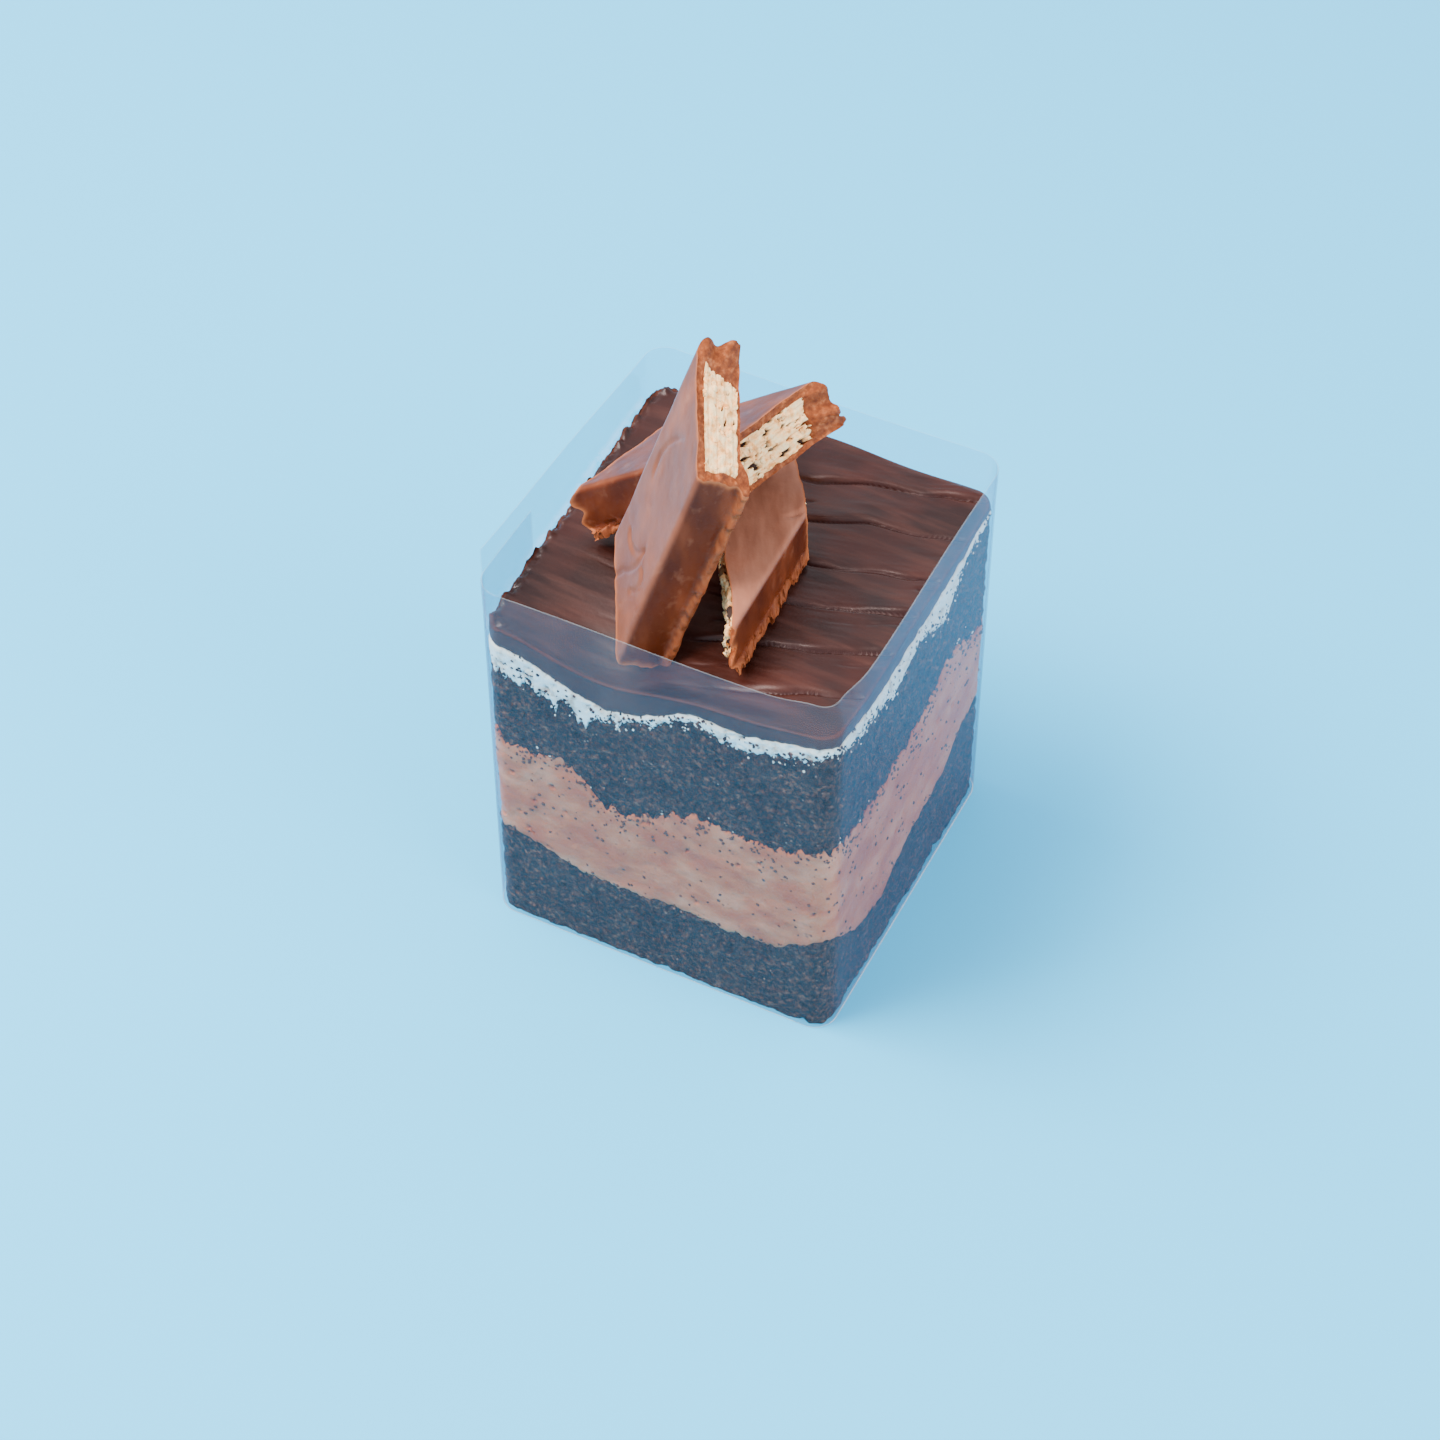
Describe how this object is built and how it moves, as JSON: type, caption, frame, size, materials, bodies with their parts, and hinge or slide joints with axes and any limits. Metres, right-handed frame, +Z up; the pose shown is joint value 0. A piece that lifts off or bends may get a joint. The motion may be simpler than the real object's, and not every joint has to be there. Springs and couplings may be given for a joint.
{
  "type": "slice of chocolate cake",
  "caption": "Square slice of layered chocolate cake in a clear film collar, topped with glossy ganache and broken chocolate wafer bar pieces.",
  "frame": {"origin": "middle of the collar's square, on the surface the cake stands on", "axes": "+Z up, -Y towards the front side of the slice, +X to its right side"},
  "size_m": [0.0635, 0.0634, 0.1127],
  "materials": {
    "sponge": "moist dark cocoa sponge, open crumb",
    "mousse": "whipped milk chocolate mousse with air holes and cake crumbs",
    "cream": "soft whipped cream, smeared against the film",
    "ganache": "glossy dark ganache with spatula strokes",
    "film": "clear thin acetate film, lightly creased",
    "milk_chocolate": "satin milk chocolate, moulded, with broken edges",
    "wafer": "crisp baked wafer sheets with cream between"
  },
  "bodies": {
    "root": {"sponge_bottom": "sponge", "mousse_layer": "mousse", "sponge_top": "sponge", "cream_layer": "cream", "ganache_top": "ganache", "film_collar": "film", "leaning_wafer_coat": "milk_chocolate", "leaning_wafer_core": "wafer", "lying_wafer_coat": "milk_chocolate", "lying_wafer_core": "wafer", "crossing_wafer_coat": "milk_chocolate", "crossing_wafer_core": "wafer"}
  },
  "joints": []
}
